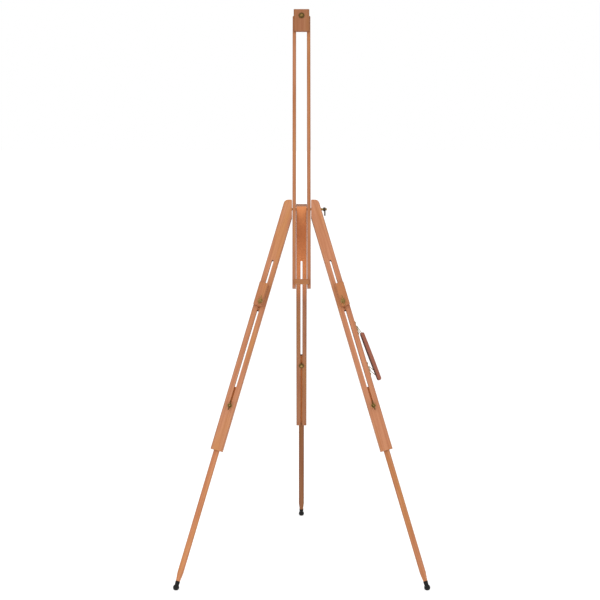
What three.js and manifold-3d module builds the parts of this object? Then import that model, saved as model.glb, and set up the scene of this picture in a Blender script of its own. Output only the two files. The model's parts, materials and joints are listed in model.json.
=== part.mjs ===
// Tripod field easel in oiled beech: a sliding mast, two splayed front legs and a rear leg on one
// cross bolt, telescoping rods, canvas shelves, a top clamp and a leather carrying handle.
// Millimetres, +Z up, the front faces -Y, the origin is under the middle of the easel on the floor.
import * as THREE from 'three';
import { mergeVertices } from 'three/addons/utils/BufferGeometryUtils.js';
import Module from 'manifold-3d';

const wasm = await Module();
wasm.setup();

// Driving dimensions
const RAD = Math.PI / 180;
const BOLT_HEIGHT = 1137; // cross bolt above the floor
const LEAN = 19; // mast and front legs lean back together
const SPLAY = 16; // each front leg, within the leaning plane
const REAR_ANGLE = 14.7; // rear leg from the vertical
const HIP_X = 43; // front leg centre line at the bolt
const BOLT_R = 4;
const GAP = 0.3; // between pieces that touch

const RAIL = { inner: 18, outer: 29.5, depth: 28, bottom: -260, top: 659.5, slot: 12.6 };
const MAST_DOWN = 575; // travel of the mast down to the carrying position
const MAST_UP = 40;
const BUSH = { height: 22, depth: 12 };

const LEG = { width: 38.5, thick: 24, end: 808, frontBoard: 6.15, slotTop: 177, slotEnd: 668, slot: 6 };
const REAR = { width: 35, top: 13, end: 797, shiftY: 3 };
const BEVEL_X = 31; // flat inner face of a front leg's top
const BEVEL_Z = -28; // lower corner of that face, the splay pivot
const LEG_TOP = 29.5;

const ROD = { width: 18, thick: 12, length: 622, taper: 26 };
const FOOT = { length: 29, ball: 9.6, neck: 7.4 };
const SIDE_ROD_TOP = 601;
const REAR_ROD_TOP = 527;
const SIDE_BOLT_DOWN = 62; // clamp bolt below the top of the rod
const REAR_BOLT_DOWN = 36;
const BACK_SLOT = 6.6;

const SHELF = { width: 28, offset: 5, thick: 22, top: 259, bottom: 335, bolt: 320, pin: 340 };
const M5 = 2.5;

const JAW = { bottom: 601.5, behind: 618, top: 678, half: 26, thick: 12, bolt: 655 };
const BAR = { half: 23.5, bottom: 234.5, top: 251, thick: 9 };

const HANDLE = { upperPlate: 411, lowerPlate: 546, top: 429, bottom: 591, thick: 16.5, wide: 16 };
const PLATE = { length: 45, wide: 11, thick: 1.2, eye: 3.2 };
const WIRE_R = 1;
const EYE = { wall: 0.9, half: 1.3, drop: 5 };

// Finishes
const finish = (color, roughness, metalness = 0) =>
  new THREE.MeshStandardMaterial({ color, roughness, metalness });
const WOOD = () => finish(0xc98c65, 0.5);
const BRASS = () => finish(0xb08d4a, 0.35, 1);
const STEEL = () => finish(0x4a4a48, 0.45, 1);
const RUBBER = () => finish(0x1b1a19, 0.85);
const LEATHER = () => finish(0x8a4a32, 0.6);

// Solid helpers
function toSolid(geometry) {
  const plain = geometry.clone();
  plain.deleteAttribute('normal');
  plain.deleteAttribute('uv');
  const merged = mergeVertices(plain, 1e-4);
  return new wasm.Manifold(new wasm.Mesh({
    numProp: 3,
    vertProperties: new Float32Array(merged.attributes.position.array),
    triVerts: new Uint32Array(merged.index.array),
  }));
}

function toGeometry(solid) {
  const mesh = solid.getMesh();
  const geometry = new THREE.BufferGeometry();
  geometry.setAttribute('position', new THREE.BufferAttribute(mesh.vertProperties, 3));
  geometry.setIndex(new THREE.BufferAttribute(mesh.triVerts, 1));
  geometry.computeVertexNormals();
  return geometry;
}

function cut(base, ...cutters) {
  let solid = toSolid(base);
  for (const cutter of cutters) solid = solid.subtract(toSolid(cutter));
  return toGeometry(solid);
}

function join(base, ...others) {
  let solid = toSolid(base);
  for (const other of others) solid = solid.add(toSolid(other));
  return toGeometry(solid);
}

// A box from its low and high limits on each axis.
function block([x0, x1], [y0, y1], [z0, z1]) {
  const box = new THREE.BoxGeometry(x1 - x0, y1 - y0, z1 - z0);
  return box.translate((x0 + x1) / 2, (y0 + y1) / 2, (z0 + z1) / 2);
}

// A round bar along X, Y or Z between two places on that axis.
function bar(axis, radius, from, to, [a, b] = [0, 0], sides = 16) {
  const rod = new THREE.CylinderGeometry(radius, radius, to - from, sides);
  const middle = (from + to) / 2;
  if (axis === 'x') return rod.rotateZ(-Math.PI / 2).translate(middle, a, b);
  if (axis === 'y') return rod.translate(a, middle, b);
  return rod.rotateX(Math.PI / 2).translate(a, b, middle);
}

// A polygon in X and Z with rounded corners: each point is [x, z, radius].
function outline(points) {
  const shape = new THREE.Shape();
  points.forEach(([x, z, r = 0], i) => {
    const here = new THREE.Vector2(x, z);
    const before = new THREE.Vector2(...points.at(i - 1).slice(0, 2));
    const after = new THREE.Vector2(...points[(i + 1) % points.length].slice(0, 2));
    const start = before.sub(here).setLength(r).add(here);
    const end = after.sub(here).setLength(r).add(here);
    if (i === 0) shape.moveTo(start.x, start.y);
    else shape.lineTo(start.x, start.y);
    if (r > 0) shape.quadraticCurveTo(x, z, end.x, end.y);
  });
  shape.closePath();
  return shape;
}

// An outline in X and Z, given thickness along Y.
function slab(shape, y0, y1, bevel = 0, curveSegments = 6) {
  const geometry = new THREE.ExtrudeGeometry(shape, {
    depth: y1 - y0 - 2 * bevel,
    bevelEnabled: bevel > 0,
    bevelThickness: bevel,
    bevelSize: bevel,
    bevelOffset: -bevel,
    bevelSegments: 1,
    curveSegments,
  });
  return geometry.rotateX(Math.PI / 2).translate(0, y1 - bevel, 0);
}

// A slot with round ends along Z, cut through along Y.
function slotCutter(width, zLow, zHigh, y0, y1, x = 0) {
  const r = width / 2;
  const shape = new THREE.Shape();
  shape.absarc(x, zHigh - r, r, 0, Math.PI, false);
  shape.absarc(x, zLow + r, r, Math.PI, 2 * Math.PI, false);
  shape.closePath();
  return slab(shape, y0, y1, 0, 8);
}

// Groups: each has its own frame, and place() adds a named piece in it.
const easel = new THREE.Group();
const head = new THREE.Group();
easel.add(head);
const front = new THREE.Group();
front.rotation.x = -LEAN * RAD;
const rear = new THREE.Group();
rear.rotation.x = REAR_ANGLE * RAD;
head.add(front, rear);

function place(group, name, geometry, material) {
  const mesh = new THREE.Mesh(geometry, material);
  mesh.name = name;
  group.add(mesh);
}

// Fastenings along Y. sign is +1 when the domed head is on the +Y side.
function domedBolt(headY, tipY, radius, at, domeR = 6.4, domeH = 3) {
  const sign = Math.sign(headY - tipY);
  const profile = [];
  for (let i = 0; i <= 4; i++) {
    const angle = (i / 4) * Math.PI / 2;
    profile.push(new THREE.Vector2(domeR * Math.cos(angle), domeH * Math.sin(angle)));
  }
  profile.unshift(new THREE.Vector2(0, 0));
  const dome = new THREE.LatheGeometry(profile, 20);
  if (sign < 0) dome.rotateX(Math.PI);
  dome.translate(at[0], headY, at[1]);
  const [low, high] = [Math.min(headY + sign * 0.5, tipY), Math.max(headY + sign * 0.5, tipY)];
  return join(dome, bar('y', radius, low, high, at, 12));
}

const washer = (y0, y1, outer, hole, at) =>
  cut(bar('y', outer, y0, y1, at, 20), bar('y', hole, y0 - 1, y1 + 1, at, 12));

// A wing nut on a bolt along Y with its wings along Z; faceY touches the work, sign is the way it stands.
function wingNut(faceY, sign, at, hole = M5 + 0.25) {
  const hub = new THREE.CylinderGeometry(4.3, 5.6, 8, 16);
  if (sign < 0) hub.rotateX(Math.PI);
  hub.translate(0, sign * 4, 0);
  const wing = new THREE.Shape();
  wing.moveTo(3, 1);
  wing.lineTo(7, 1.5);
  wing.quadraticCurveTo(16.5, 6, 16, 13);
  wing.quadraticCurveTo(14.5, 17, 11.5, 14.5);
  wing.quadraticCurveTo(9.5, 9.5, 3, 7.5);
  wing.closePath();
  const blade = () => new THREE.ExtrudeGeometry(wing, { depth: 2.4, bevelEnabled: false, curveSegments: 4 })
    .translate(0, 0, -1.2).rotateY(-Math.PI / 2);
  const blades = [blade(), blade().rotateY(Math.PI)];
  if (sign < 0) blades.forEach((b) => b.rotateZ(Math.PI));
  const nut = join(hub, ...blades).translate(at[0], faceY, at[1]);
  return cut(nut, bar('y', hole, faceY - 12, faceY + 12, at, 12));
}

// Front legs: leg frame with X across, Y through the thickness, Z up the leg, zero at the bolt.
const HALF = LEG.width / 2;
const FRONT_Y = -LEG.thick / 2;
const BACK_Y = LEG.thick / 2;
const SEAM_Y = FRONT_Y + LEG.frontBoard;
const CHANNEL_Y = SEAM_Y + GAP + ROD.thick + 0.6;

const legFrame = (side) => new THREE.Matrix4()
  .makeRotationY(-side * SPLAY * RAD).setPosition(side * HIP_X, 0, 0);

// A point of the leaning plane, in the frame of one front leg.
function inLeg(side, x, z) {
  const p = new THREE.Vector3(x, 0, z).applyMatrix4(legFrame(side).invert());
  return [p.x, p.z];
}

function frontLegOutline(side) {
  const edgeAt = (z) => side * (HIP_X + HALF / Math.cos(SPLAY * RAD) - z * Math.tan(SPLAY * RAD));
  const points = [
    [...inLeg(side, side * BEVEL_X, BEVEL_Z)],
    [...inLeg(side, side * BEVEL_X, LEG_TOP), 3],
    [...inLeg(side, edgeAt(LEG_TOP), LEG_TOP), 13],
    [side * HALF, -LEG.end],
    [-side * HALF, -LEG.end],
  ];
  return outline(side > 0 ? points.reverse() : points);
}

// Room for the cross bolt, or its sunk head, while the leg swings in about its lower bevel corner.
function swingRoom(side, radius, from, to) {
  const pivot = new THREE.Vector3(side * BEVEL_X, 0, BEVEL_Z);
  const steps = 8;
  const bars = [];
  for (let i = 0; i <= steps; i++) {
    const angle = (-side * SPLAY * RAD * i) / steps;
    const turn = new THREE.Matrix4().makeTranslation(pivot)
      .multiply(new THREE.Matrix4().makeRotationY(angle))
      .multiply(new THREE.Matrix4().makeTranslation(pivot.clone().negate()));
    const swept = bar('x', radius, Math.min(side * from, side * to), Math.max(side * from, side * to));
    bars.push(swept.applyMatrix4(legFrame(side).invert().multiply(turn)));
  }
  return bars;
}

function legBoards(shape, openings) {
  const frontBoard = cut(
    slab(shape, FRONT_Y, SEAM_Y),
    slotCutter(LEG.slot, -LEG.slotEnd, -LEG.slotTop, FRONT_Y - 1, SEAM_Y + 1),
    ...openings,
  );
  const channelHalf = ROD.width / 2 + 0.4;
  const backBoard = cut(
    slab(shape, SEAM_Y + GAP, BACK_Y),
    block([-channelHalf, channelHalf], [SEAM_Y - 1, CHANNEL_Y], [-LEG.end - 1, -LEG.slotTop]),
    slotCutter(BACK_SLOT, -LEG.end - 20, -LEG.slotTop, SEAM_Y, BACK_Y + 1),
    ...openings,
  );
  return [frontBoard, backBoard];
}

// A rod with a hole for its clamp bolt and a tapered end.
function rodSolid(top, boltDown, y0) {
  const half = ROD.width / 2;
  const end = -(top + ROD.length);
  const shape = outline([
    [-half, -top, 1.5], [-half, end + ROD.taper], [-6, end],
    [6, end], [half, end + ROD.taper], [half, -top, 1.5],
  ]);
  return cut(
    slab(shape, y0, y0 + ROD.thick, 1),
    bar('y', M5 + 0.25, y0 - 1, y0 + ROD.thick + 1, [0, -(top + boltDown)], 12),
  );
}

// A rubber ferrule: a neck that grips the rod's end and a ball, cut flat where it meets the floor.
function footSolid(top, y, floorNormal, floorPoint) {
  const start = -(top + ROD.length) - GAP;
  const end = start - FOOT.length;
  const ball = end + FOOT.ball;
  const profile = [new THREE.Vector2(0, start), new THREE.Vector2(FOOT.neck, start)];
  profile.push(new THREE.Vector2(FOOT.neck - 0.6, ball + 8.6));
  for (let i = 0; i <= 6; i++) {
    const angle = (50 - (140 * i) / 6) * RAD;
    const radius = Math.max(0, FOOT.ball * Math.cos(angle));
    profile.push(new THREE.Vector2(radius, ball + FOOT.ball * Math.sin(angle)));
  }
  const lathe = new THREE.LatheGeometry(profile.reverse(), 20).rotateX(Math.PI / 2).translate(0, y, 0);
  const cutter = new THREE.BoxGeometry(1600, 1600, 40);
  const down = floorNormal.clone();
  cutter.applyQuaternion(new THREE.Quaternion().setFromUnitVectors(new THREE.Vector3(0, 0, -1), down));
  cutter.translate(...floorPoint.clone().addScaledVector(down, 20).toArray());
  return cut(lathe, cutter);
}

// The floor, seen from a leg's own frame.
function floorIn(matrix) {
  const inverse = matrix.clone().invert();
  const point = new THREE.Vector3(0, 0, -BOLT_HEIGHT).applyMatrix4(inverse);
  const normal = new THREE.Vector3(0, 0, -1).transformDirection(inverse);
  return { point, normal };
}

function addRod(group, prefix, top, boltDown, shift, floor) {
  const rodY = SEAM_Y + GAP + 0.3 + shift;
  const at = [0, -(top + boltDown)];
  const [frontY, backY] = [FRONT_Y + shift, BACK_Y + shift];
  place(group, `${prefix}_rod`, rodSolid(top, boltDown, rodY), WOOD());
  place(group, `${prefix}_foot`, footSolid(top, rodY + ROD.thick / 2, floor.normal, floor.point), RUBBER());
  place(group, `${prefix}_rod_back_washer`, washer(backY + GAP, backY + 1.5, 9, M5 + 0.3, at), BRASS());
  place(group, `${prefix}_rod_bolt`, domedBolt(backY + 1.8, frontY - 12, M5, at), BRASS());
  place(group, `${prefix}_rod_front_washer`, washer(frontY - 1.5, frontY - GAP, 7.5, M5 + 0.3, at), BRASS());
  place(group, `${prefix}_rod_wing_nut`, wingNut(frontY - 1.8, -1, at), BRASS());
}

// A canvas shelf: a wooden block clamped through the slot, with a guide pin on its back plate.
function addShelf(group, prefix, side) {
  const x = side * SHELF.offset;
  const half = SHELF.width / 2;
  const faceY = FRONT_Y - GAP;
  const at = [0, -SHELF.bolt];
  const shape = outline([
    [x - half, -SHELF.bottom, 2], [x + half, -SHELF.bottom, 2],
    [x + half, -SHELF.top, 2], [x - half, -SHELF.top, 2],
  ]);
  const blockSolid = cut(slab(shape, faceY - SHELF.thick, faceY, 1.2), bar('y', M5 + 0.4, -60, 0, at, 12));
  place(group, `${prefix}_shelf_block`, blockSolid, WOOD());
  const plate = slab(outline([
    [-8, -SHELF.pin - 7, 4], [8, -SHELF.pin - 7, 4], [8, -SHELF.bolt + 12, 4], [-8, -SHELF.bolt + 12, 4],
  ]), BACK_Y + GAP, BACK_Y + 2.3);
  const pin = bar('y', M5 + 0.3, FRONT_Y + 0.6, BACK_Y + 1, [0, -SHELF.pin], 16);
  const keeper = cut(join(plate, pin), bar('y', M5 + 0.25, 0, 30, at, 12));
  place(group, `${prefix}_shelf_keeper`, keeper, STEEL());
  const outY = faceY - SHELF.thick;
  place(group, `${prefix}_shelf_bolt`, domedBolt(BACK_Y + 2.6, outY - 13, M5, at), BRASS());
  place(group, `${prefix}_shelf_washer`, washer(outY - 1.5, outY - GAP, 7.5, M5 + 0.3, at), BRASS());
  place(group, `${prefix}_shelf_wing_nut`, wingNut(outY - 1.8, -1, at), BRASS());
}

const legGroups = {};
for (const [prefix, side] of [['left', -1], ['right', 1]]) {
  const group = new THREE.Group();
  group.applyMatrix4(legFrame(side));
  front.add(group);
  legGroups[prefix] = group;
  const openings = swingRoom(side, BOLT_R + 0.5, 20, 90);
  if (side < 0) openings.push(...swingRoom(side, 8.6, 54, 90));
  const [frontBoard, backBoard] = legBoards(frontLegOutline(side), openings);
  place(group, `${prefix}_leg_front_board`, frontBoard, WOOD());
  place(group, `${prefix}_leg_back_board`, backBoard, WOOD());
  const matrix = new THREE.Matrix4().makeRotationX(-LEAN * RAD).multiply(legFrame(side));
  addRod(group, prefix, SIDE_ROD_TOP, SIDE_BOLT_DOWN, 0, floorIn(matrix));
  addShelf(group, prefix, side);
}

// Rear leg: the same sleeve turned round, so that its open slot faces the mast.
{
  const turned = new THREE.Group();
  turned.rotation.z = Math.PI;
  rear.add(turned);
  const half = REAR.width / 2;
  const shape = outline([
    [-half, -REAR.end], [half, -REAR.end], [half, REAR.top, 1.5], [-half, REAR.top, 1.5],
  ]);
  const boards = legBoards(shape, [bar('x', BOLT_R + 0.4, -30, 30, [REAR.shiftY, 0])]);
  boards.forEach((board) => board.translate(0, -REAR.shiftY, 0));
  place(turned, 'rear_leg_outer_board', boards[0], WOOD());
  place(turned, 'rear_leg_inner_board', boards[1], WOOD());
  const matrix = new THREE.Matrix4().makeRotationX(REAR_ANGLE * RAD)
    .multiply(new THREE.Matrix4().makeRotationZ(Math.PI));
  addRod(turned, 'rear', REAR_ROD_TOP, REAR_BOLT_DOWN, -REAR.shiftY, floorIn(matrix));
}

// Mast: two slotted rails on the cross bolt, tied by a bar at the bottom.
for (const [prefix, side] of [['left', -1], ['right', 1]]) {
  const [near, far] = [side * RAIL.inner, side * RAIL.outer];
  const points = [[near, RAIL.bottom], [far, RAIL.bottom], [far, RAIL.top, 5], [near, RAIL.top]];
  const rail = slab(outline(side > 0 ? points : points.reverse()), -RAIL.depth / 2, RAIL.depth / 2, 0.8);
  const reach = BUSH.height / 2 + 0.5;
  const long = slotCutter(RAIL.slot, -MAST_UP - reach, MAST_DOWN + reach, -40, 40).rotateZ(Math.PI / 2);
  place(front, `mast_rail_${prefix}`, cut(rail, long), WOOD());
  const [low, high] = [Math.min(near, far) + 0.4, Math.max(near, far) - 0.4];
  const round = slotCutter(BUSH.depth, -BUSH.height / 2, BUSH.height / 2, low, high).rotateZ(Math.PI / 2);
  const centred = round.translate(low + high, 0, 0);
  place(front, `${prefix}_slide_bush`, cut(centred, bar('x', BOLT_R + 0.15, -50, 50)), BRASS());
}
{
  const shape = outline([
    [-BAR.half, -BAR.top, 2], [BAR.half, -BAR.top, 2],
    [BAR.half, -BAR.bottom, 2], [-BAR.half, -BAR.bottom, 2],
  ]);
  const y = -RAIL.depth / 2 - GAP;
  place(front, 'mast_cross_bar', slab(shape, y - BAR.thick, y, 1.2), WOOD());
}

// Canvas clamp at the top of the mast: two jaws drawn together across the rails.
{
  const frontY = -RAIL.depth / 2 - GAP;
  const backY = RAIL.depth / 2 + GAP;
  const face = (bottom) => outline([
    [-JAW.half, bottom, 2], [JAW.half, bottom, 2], [JAW.half, JAW.top, 2], [-JAW.half, JAW.top, 2],
  ]);
  const tongueHalf = RAIL.inner - 0.5;
  const tongueY = [frontY - 2, RAIL.depth / 2 - 1];
  const tongue = block([-tongueHalf, tongueHalf], tongueY, [JAW.behind, JAW.top - 1]);
  const hole = bar('y', 3.3, -60, 60, [0, JAW.bolt]);
  const frontJaw = cut(join(slab(face(JAW.bottom), frontY - JAW.thick, frontY, 1), tongue), hole);
  place(front, 'clamp_front_jaw', frontJaw, WOOD());
  place(front, 'clamp_back_jaw', cut(slab(face(JAW.behind), backY, backY + 10, 1), hole), WOOD());
  const at = [0, JAW.bolt];
  const headY = frontY - JAW.thick;
  const nutY = backY + 10;
  place(front, 'clamp_front_washer', washer(headY - 1.5, headY - GAP, 10, 3.3, at), BRASS());
  place(front, 'clamp_bolt', domedBolt(headY - 1.8, nutY + 13, 3, at, 7, 3.4), BRASS());
  place(front, 'clamp_back_washer', washer(nutY + GAP, nutY + 1.5, 9, 3.3, at), BRASS());
  place(front, 'clamp_wing_nut', wingNut(nutY + 1.8, 1, at, 3.2), BRASS());
}

// Cross bolt, its head sunk in the left leg, and the lever nut on its right end.
{
  const sunk = bar('x', 8, -60, -55.5, [0, 0], 24);
  place(front, 'pivot_bolt', join(bar('x', BOLT_R, -56, 82, [0, 0], 20), sunk), BRASS());
  const hub = bar('x', 6.5, 70.2, 78, [0, 0], 20);
  const lever = new THREE.Shape();
  lever.moveTo(-3.6, 7);
  lever.lineTo(-4.6, -18);
  lever.quadraticCurveTo(0, -25.5, 4.6, -18);
  lever.lineTo(3.6, 7);
  lever.closePath();
  const blade = slab(lever, -2.6, 2.6).rotateZ(Math.PI / 2).translate(75.4, 0, 0);
  place(front, 'tilt_lever', cut(join(hub, blade), bar('x', BOLT_R + 0.15, 60, 90, [0, 0], 20)), STEEL());
}

// Carrying handle: in the right leg's frame, E runs down the outer edge and OUT away from it.
{
  const group = legGroups.right;
  const eyeX = HALF + PLATE.eye;
  const topHole = { x: HALF + 12.5, z: -(HANDLE.top + 10) };
  const bottomHole = { x: HALF + 22.5, z: -(HANDLE.bottom - 16) };
  const along = new THREE.Vector2(bottomHole.x - topHole.x, bottomHole.z - topHole.z).normalize();
  const barHalf = 7.6;

  // A bent-wire bail: a closed four-sided wire loop between a plate's eye and the grip.
  const bailPath = (plateZ, hole, grow) => {
    const corners = [
      [eyeX, plateZ + barHalf], [hole.x - along.x * barHalf, hole.z - along.y * barHalf],
      [hole.x + along.x * barHalf, hole.z + along.y * barHalf], [eyeX, plateZ - barHalf],
    ];
    const solids = corners.map(([x, z], i) => {
      const [x2, z2] = corners[(i + 1) % 4];
      const reach = Math.hypot(x2 - x, z2 - z);
      const wire = new THREE.CylinderGeometry(WIRE_R + grow, WIRE_R + grow, reach, 8);
      wire.rotateX(Math.PI / 2).rotateY(Math.atan2(x2 - x, z2 - z));
      return wire.translate((x + x2) / 2, 0, (z + z2) / 2);
    });
    const balls = corners.map(([x, z]) => new THREE.SphereGeometry(WIRE_R + grow, 8, 6).translate(x, 0, z));
    return [...solids, ...balls];
  };

  const grip = () => {
    const across = new THREE.Vector2(-along.y, along.x).multiplyScalar(HANDLE.thick / 2);
    const [xa, za] = [topHole.x - along.x * 10, topHole.z - along.y * 10];
    const [xb, zb] = [bottomHole.x + along.x * 16, bottomHole.z + along.y * 16];
    const shape = outline([
      [xa - across.x, za - across.y, 5], [xb - across.x, zb - across.y, 5],
      [xb + across.x, zb + across.y, 5], [xa + across.x, za + across.y, 5],
    ]);
    return slab(shape, -HANDLE.wide / 2, HANDLE.wide / 2, 2);
  };

  const slits = [];
  for (const [name, plateZ, hole] of [
    ['upper', -HANDLE.upperPlate, topHole], ['lower', -HANDLE.lowerPlate, bottomHole],
  ]) {
    const [first, ...rest] = bailPath(plateZ, hole, 0);
    place(group, `handle_bail_${name}`, join(first, ...rest), BRASS());
    slits.push(...bailPath(plateZ, hole, 0.5));
    const half = PLATE.length / 2;
    const x0 = HALF + GAP;
    const plateY = [-PLATE.wide / 2, PLATE.wide / 2];
    const flat = block([x0, x0 + PLATE.thick], plateY, [plateZ - half, plateZ + half]);
    const eyeR = WIRE_R + 0.35 + EYE.wall;
    const eyeZ = [plateZ - EYE.drop - EYE.half, plateZ - EYE.drop + EYE.half];
    const eye = join(
      bar('z', eyeR, ...eyeZ, [eyeX, 0], 16),
      block([x0 + 0.4, eyeX], [-eyeR, eyeR], eyeZ),
    );
    const bore = bar('z', WIRE_R + 0.35, plateZ - 12, plateZ + 12, [eyeX, 0], 12);
    const screws = [plateZ - half + 5, plateZ + half - 5];
    const holes = screws.map((z) => bar('x', 1.8, x0 - 5, x0 + 5, [0, z], 12));
    place(group, `handle_plate_${name}`, cut(join(flat, eye), bore, ...holes), BRASS());
    screws.forEach((z, i) => {
      const top = x0 + PLATE.thick + GAP;
      const dome = new THREE.SphereGeometry(3.4, 12, 8).scale(1, 0.5, 1);
      dome.rotateZ(-Math.PI / 2).translate(top, 0, z);
      const cap = cut(dome, block([top - 9, top], [-9, 9], [z - 9, z + 9]));
      const shank = bar('x', 1.4, HALF + 0.1, top + 0.5, [0, z], 10);
      place(group, `handle_screw_${name}_${i + 1}`, join(cap, shank), BRASS());
    });
  }
  place(group, 'handle_grip', cut(grip(), ...slits), LEATHER());
}

// Stand the easel on the floor with the origin under the middle of its box.
head.position.set(0, 0, BOLT_HEIGHT);
easel.updateMatrixWorld(true);
const box = new THREE.Box3().setFromObject(easel, true);
easel.position.set(-(box.min.x + box.max.x) / 2, -(box.min.y + box.max.y) / 2, 0);
easel.updateMatrixWorld(true);

export default easel;
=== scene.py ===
"""Looks of the tripod field easel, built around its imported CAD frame. Metres, +Z up, front towards -Y."""
import json
import math

import bmesh
import bpy
from mathutils import Matrix, Vector


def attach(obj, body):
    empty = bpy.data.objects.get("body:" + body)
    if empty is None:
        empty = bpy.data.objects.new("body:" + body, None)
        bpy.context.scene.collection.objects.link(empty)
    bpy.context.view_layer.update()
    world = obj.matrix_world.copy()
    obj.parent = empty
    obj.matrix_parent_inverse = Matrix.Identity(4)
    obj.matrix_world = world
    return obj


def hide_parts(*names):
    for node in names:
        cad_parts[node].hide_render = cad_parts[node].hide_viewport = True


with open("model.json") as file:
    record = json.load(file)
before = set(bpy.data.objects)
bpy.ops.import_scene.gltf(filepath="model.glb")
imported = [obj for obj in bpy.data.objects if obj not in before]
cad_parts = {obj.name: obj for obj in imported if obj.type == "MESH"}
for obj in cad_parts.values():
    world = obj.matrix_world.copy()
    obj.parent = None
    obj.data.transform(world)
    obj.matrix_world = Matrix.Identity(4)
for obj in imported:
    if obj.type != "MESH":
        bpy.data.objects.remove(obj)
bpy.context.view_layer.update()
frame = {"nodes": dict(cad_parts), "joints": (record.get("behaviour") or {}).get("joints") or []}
nodes = frame["nodes"]
joints = {j["name"]: j for j in frame["joints"]}

# ---------------------------------------------------------------- frames of the groups, in millimetres
MM = 0.001
HIP_X = 43.0  # centre line of a front leg from the middle, at the cross bolt


def unit(values, sign=1.0):
    return (sign * Vector(values)).normalized()


def frame_at(origin, y_axis, z_axis):
    x_axis = y_axis.cross(z_axis).normalized()
    matrix = Matrix((x_axis, y_axis, z_axis)).transposed().to_4x4()
    matrix.translation = origin
    return matrix @ Matrix.Scale(MM, 4)


bolt_place = Vector(joints["mast_tilt"]["pos_m"])
front_y = unit(joints["clamp_nut_turn"]["axis"])
front_z = unit(joints["mast_slide"]["axis"])
FRAMES = {"front": frame_at(bolt_place, front_y, front_z)}
for side, sign in (("left", -1), ("right", 1)):
    hip = bolt_place + sign * HIP_X * MM * front_y.cross(front_z)
    FRAMES[side] = frame_at(hip, front_y, unit(joints[f"{side}_rod_slide"]["axis"], -1))
FRAMES["rear"] = frame_at(
    bolt_place,
    unit(joints["rear_rod_nut_turn"]["axis"]),
    unit(joints["rear_rod_slide"]["axis"], -1),
)


# ---------------------------------------------------------------- materials
class Graph:
    """A material's node tree, built one node at a time."""

    def __init__(self, name):
        self.material = bpy.data.materials.new(name)
        self.material.use_nodes = True
        self.tree = self.material.node_tree
        self.tree.nodes.clear()
        self.coords = self.add("TexCoord")

    def add(self, kind, inputs=None, **props):
        node = self.tree.nodes.new("ShaderNode" + kind)
        for key, value in props.items():
            setattr(node, key, value)
        for key, value in (inputs or {}).items():
            if isinstance(value, bpy.types.NodeSocket):
                self.tree.links.new(value, node.inputs[key])
            else:
                node.inputs[key].default_value = value
        return node

    def math(self, operation, a, b=0.0):
        return self.add("Math", {0: a, 1: b}, operation=operation).outputs[0]

    def dot(self, vector, axis):
        node = self.add("VectorMath", {0: vector, 1: axis}, operation="DOT_PRODUCT")
        return node.outputs["Value"]

    def noise(self, vector, scale, detail=2.0, distortion=0.0, roughness=0.5):
        values = {
            "Vector": vector, "Scale": scale, "Detail": detail,
            "Distortion": distortion, "Roughness": roughness,
        }
        return self.add("TexNoise", values).outputs["Fac"]

    def spread(self, value, low, high, out_low=0.0, out_high=1.0):
        values = {"Value": value, 1: low, 2: high, 3: out_low, 4: out_high}
        return self.add("MapRange", values).outputs[0]

    def mix(self, factor, a, b):
        node = self.add("Mix", {0: factor, 6: a, 7: b}, data_type="RGBA")
        return node.outputs[2]

    def bump(self, height, strength, distance):
        values = {"Height": height, "Strength": strength, "Distance": distance}
        return self.add("Bump", values).outputs["Normal"]

    def finish(self, values):
        shader = self.add("BsdfPrincipled", values)
        self.add("OutputMaterial", {"Surface": shader.outputs[0]})
        return self.material


def rgb(r, g, b):
    return (r, g, b, 1.0)


ALL_OVER = (-2.0, -1.9)  # heights below the floor, for redder wood that fills the whole piece
OILED, RUBBED = 0.22, 0.04  # how much light the wood's surface throws back


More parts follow.
